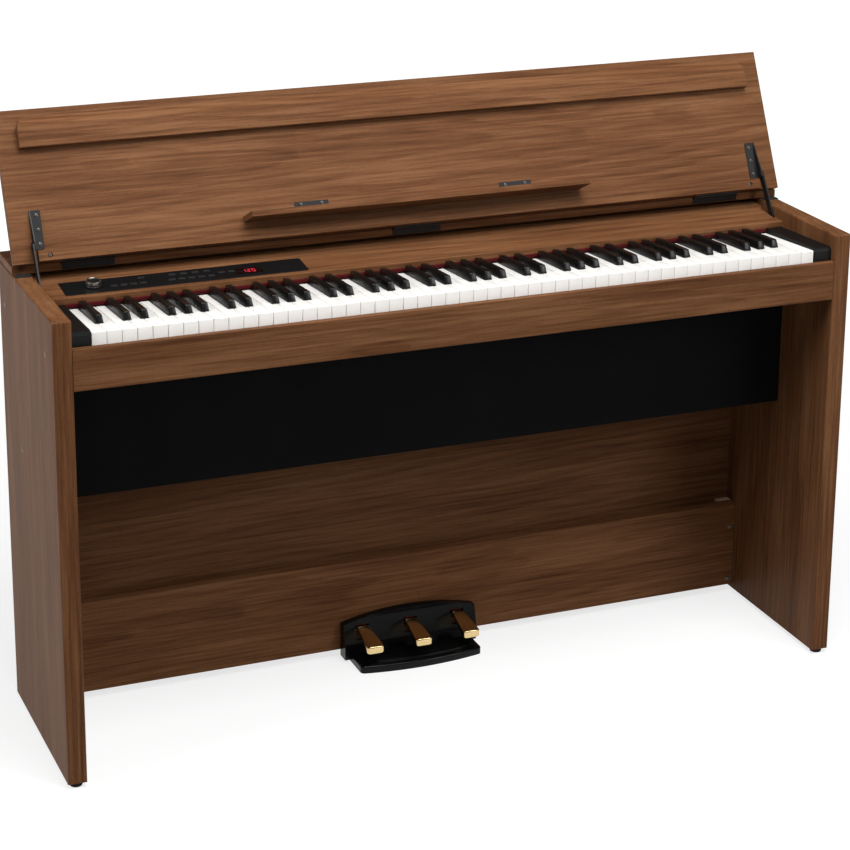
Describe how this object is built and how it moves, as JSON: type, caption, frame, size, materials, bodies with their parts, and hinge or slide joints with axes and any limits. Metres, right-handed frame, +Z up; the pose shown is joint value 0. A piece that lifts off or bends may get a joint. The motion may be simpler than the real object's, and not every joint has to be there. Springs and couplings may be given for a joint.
{
  "type": "digital piano on stand",
  "caption": "Compact digital piano in a wood-look panel stand, with a folding lid, music rest, full keyboard and a low pedal unit.",
  "frame": {"origin": "on the floor, under the middle of the whole with the lid open", "axes": "+X along the keyboard to the treble end, +Y from the player to the back, +Z up"},
  "size_m": [1.3484, 0.3568, 0.9954],
  "materials": {
    "walnut_board": "satin printed walnut laminate",
    "raw_board": "plain particle board",
    "black_board": "matt black laminate",
    "black_plastic": "fine textured black",
    "red_felt": "woven felt",
    "rubber_black": "matt",
    "brown_cap": "satin",
    "dark_screw": "dark zinc",
    "black_steel": "satin black powder coat",
    "bright_steel": "zinc plated",
    "circuit_green": "solder mask",
    "speaker_black": "matt",
    "display_red": "tinted window",
    "gloss_black": "polished black",
    "brass_pedal": "polished",
    "silver_knob": "satin, dished top",
    "white_key": "gloss white",
    "black_key": "satin black"
  },
  "bodies": {
    "cabinet": {"side_panel_left": "walnut_board", "side_panel_right": "walnut_board", "rear_top_board": "walnut_board", "back_panel": "walnut_board", "lower_board": "walnut_board", "keybed": "raw_board", "keyslip": "walnut_board", "under_key_panel": "black_board", "control_board": "walnut_board", "cheek_blocks": "black_plastic", "felt_strip": "red_felt", "feet": "rubber_black", "lid_pads": "rubber_black", "cover_caps": "brown_cap", "cabinet_screws": "dark_screw", "corner_blocks": "raw_board", "lid_hinge_fixed_leaves": "black_steel", "key_frame": "bright_steel", "key_pivot_rod": "bright_steel", "key_sensor_board": "circuit_green", "rubber_contact_strip": "rubber_black", "main_circuit_board": "circuit_green", "speakers": "speaker_black", "power_inlet": "black_plastic", "headphone_jacks": "black_plastic", "control_plate": "black_plastic", "display_window": "display_red", "stay_guides": "black_plastic", "pedal_hood": "gloss_black", "pedal_base": "gloss_black", "pedal_shaft": "bright_steel"},
    "lid": {"lid_panel": "walnut_board", "lid_front_bar": "walnut_board", "lid_ledge_rail": "walnut_board", "lid_hinge_moving_leaves": "black_steel", "lid_screws": "dark_screw", "stay_brackets": "black_steel", "rest_hinge_fixed_leaves": "black_steel"},
    "stay_arms": {"stay_arms": "black_steel"},
    "music_rest": {"music_rest": "walnut_board", "rest_hinge_moving_leaves": "black_steel"},
    "volume_knob": {"volume_knob": "silver_knob"},
    "panel_buttons": {"panel_buttons": "black_plastic"},
    "pedal_left": {"pedal_left": "brass_pedal"},
    "pedal_middle": {"pedal_middle": "brass_pedal"},
    "pedal_right": {"pedal_right": "brass_pedal"},
    "key_c": {"key_c": "white_key"},
    "key_c_sharp": {"key_c_sharp": "black_key"},
    "key_d": {"key_d": "white_key"},
    "key_d_sharp": {"key_d_sharp": "black_key"},
    "key_e": {"key_e": "white_key"},
    "key_f": {"key_f": "white_key"},
    "key_f_sharp": {"key_f_sharp": "black_key"},
    "key_g": {"key_g": "white_key"},
    "key_g_sharp": {"key_g_sharp": "black_key"},
    "key_a": {"key_a": "white_key"},
    "key_a_sharp": {"key_a_sharp": "black_key"},
    "key_b": {"key_b": "white_key"},
    "white_key_bank": {"white_key_bank": "white_key"},
    "black_key_bank": {"black_key_bank": "black_key"}
  },
  "joints": [
    {"name": "lid_hinge", "type": "hinge", "parent": "cabinet", "child": "lid", "pos_m": [0, 0.07238, 0.77], "axis": [1, 0, 0], "range_deg": [0, 115.7]},
    {"name": "stay_arm_pivot", "type": "hinge", "parent": "lid", "child": "stay_arms", "pos_m": [0, 0.06633, 0.80287], "axis": [1, 0, 0], "range_deg": [-84, 0]},
    {"name": "music_rest_hinge", "type": "hinge", "parent": "lid", "child": "music_rest", "pos_m": [0, 0.07893, 0.81612], "axis": [1, 0, 0], "range_deg": [-90.1, 0]},
    {"name": "volume_turn", "type": "hinge", "parent": "cabinet", "child": "volume_knob", "pos_m": [-0.557, 0.02788, 0.74008], "axis": [0, -0.1191, 0.9929], "range_deg": [-150, 150]},
    {"name": "buttons_press", "type": "slide", "parent": "cabinet", "child": "panel_buttons", "axis": [0, 0.1191, -0.9929], "range_m": [0, 0.0007], "stiffness_N_per_m": 400, "springref_m": -0.002},
    {"name": "pedal_left_press", "type": "hinge", "parent": "cabinet", "child": "pedal_left", "pos_m": [-0.088, 0.10088, 0.052], "axis": [1, 0, 0], "range_deg": [0, 9], "stiffness_Nm_per_rad": 8, "springref_deg": -6.88},
    {"name": "pedal_middle_press", "type": "hinge", "parent": "cabinet", "child": "pedal_middle", "pos_m": [0, 0.10088, 0.052], "axis": [1, 0, 0], "range_deg": [0, 9], "stiffness_Nm_per_rad": 8, "springref_deg": -6.88},
    {"name": "pedal_right_press", "type": "hinge", "parent": "cabinet", "child": "pedal_right", "pos_m": [0.088, 0.10088, 0.052], "axis": [1, 0, 0], "range_deg": [0, 9], "stiffness_Nm_per_rad": 8, "springref_deg": -6.88},
    {"name": "key_c_press", "type": "hinge", "parent": "cabinet", "child": "key_c", "pos_m": [0, 0.05278, 0.709], "axis": [1, 0, 0], "range_deg": [0, 2.63], "stiffness_Nm_per_rad": 1, "springref_deg": -14.32},
    {"name": "key_c_sharp_press", "type": "hinge", "parent": "cabinet", "child": "key_c_sharp", "pos_m": [0, 0.05278, 0.709], "axis": [1, 0, 0], "range_deg": [0, 2.63], "stiffness_Nm_per_rad": 1, "springref_deg": -14.32},
    {"name": "key_d_press", "type": "hinge", "parent": "cabinet", "child": "key_d", "pos_m": [0, 0.05278, 0.709], "axis": [1, 0, 0], "range_deg": [0, 2.63], "stiffness_Nm_per_rad": 1, "springref_deg": -14.32},
    {"name": "key_d_sharp_press", "type": "hinge", "parent": "cabinet", "child": "key_d_sharp", "pos_m": [0, 0.05278, 0.709], "axis": [1, 0, 0], "range_deg": [0, 2.63], "stiffness_Nm_per_rad": 1, "springref_deg": -14.32},
    {"name": "key_e_press", "type": "hinge", "parent": "cabinet", "child": "key_e", "pos_m": [0, 0.05278, 0.709], "axis": [1, 0, 0], "range_deg": [0, 2.63], "stiffness_Nm_per_rad": 1, "springref_deg": -14.32},
    {"name": "key_f_press", "type": "hinge", "parent": "cabinet", "child": "key_f", "pos_m": [0, 0.05278, 0.709], "axis": [1, 0, 0], "range_deg": [0, 2.63], "stiffness_Nm_per_rad": 1, "springref_deg": -14.32},
    {"name": "key_f_sharp_press", "type": "hinge", "parent": "cabinet", "child": "key_f_sharp", "pos_m": [0, 0.05278, 0.709], "axis": [1, 0, 0], "range_deg": [0, 2.63], "stiffness_Nm_per_rad": 1, "springref_deg": -14.32},
    {"name": "key_g_press", "type": "hinge", "parent": "cabinet", "child": "key_g", "pos_m": [0, 0.05278, 0.709], "axis": [1, 0, 0], "range_deg": [0, 2.63], "stiffness_Nm_per_rad": 1, "springref_deg": -14.32},
    {"name": "key_g_sharp_press", "type": "hinge", "parent": "cabinet", "child": "key_g_sharp", "pos_m": [0, 0.05278, 0.709], "axis": [1, 0, 0], "range_deg": [0, 2.63], "stiffness_Nm_per_rad": 1, "springref_deg": -14.32},
    {"name": "key_a_press", "type": "hinge", "parent": "cabinet", "child": "key_a", "pos_m": [0, 0.05278, 0.709], "axis": [1, 0, 0], "range_deg": [0, 2.63], "stiffness_Nm_per_rad": 1, "springref_deg": -14.32},
    {"name": "key_a_sharp_press", "type": "hinge", "parent": "cabinet", "child": "key_a_sharp", "pos_m": [0, 0.05278, 0.709], "axis": [1, 0, 0], "range_deg": [0, 2.63], "stiffness_Nm_per_rad": 1, "springref_deg": -14.32},
    {"name": "key_b_press", "type": "hinge", "parent": "cabinet", "child": "key_b", "pos_m": [0, 0.05278, 0.709], "axis": [1, 0, 0], "range_deg": [0, 2.63], "stiffness_Nm_per_rad": 1, "springref_deg": -14.32},
    {"name": "white_keys_press", "type": "hinge", "parent": "cabinet", "child": "white_key_bank", "pos_m": [0, 0.05278, 0.709], "axis": [1, 0, 0], "range_deg": [0, 2.63], "stiffness_Nm_per_rad": 45, "springref_deg": -14.32},
    {"name": "black_keys_press", "type": "hinge", "parent": "cabinet", "child": "black_key_bank", "pos_m": [0, 0.05278, 0.709], "axis": [1, 0, 0], "range_deg": [0, 2.63], "stiffness_Nm_per_rad": 31, "springref_deg": -14.32}
  ],
  "couplings": [
    {"joint": "stay_arm_pivot", "follows": "lid_hinge", "ratio": -0.72515},
    {"joint": "music_rest_hinge", "follows": "lid_hinge", "ratio": -0.77787}
  ]
}
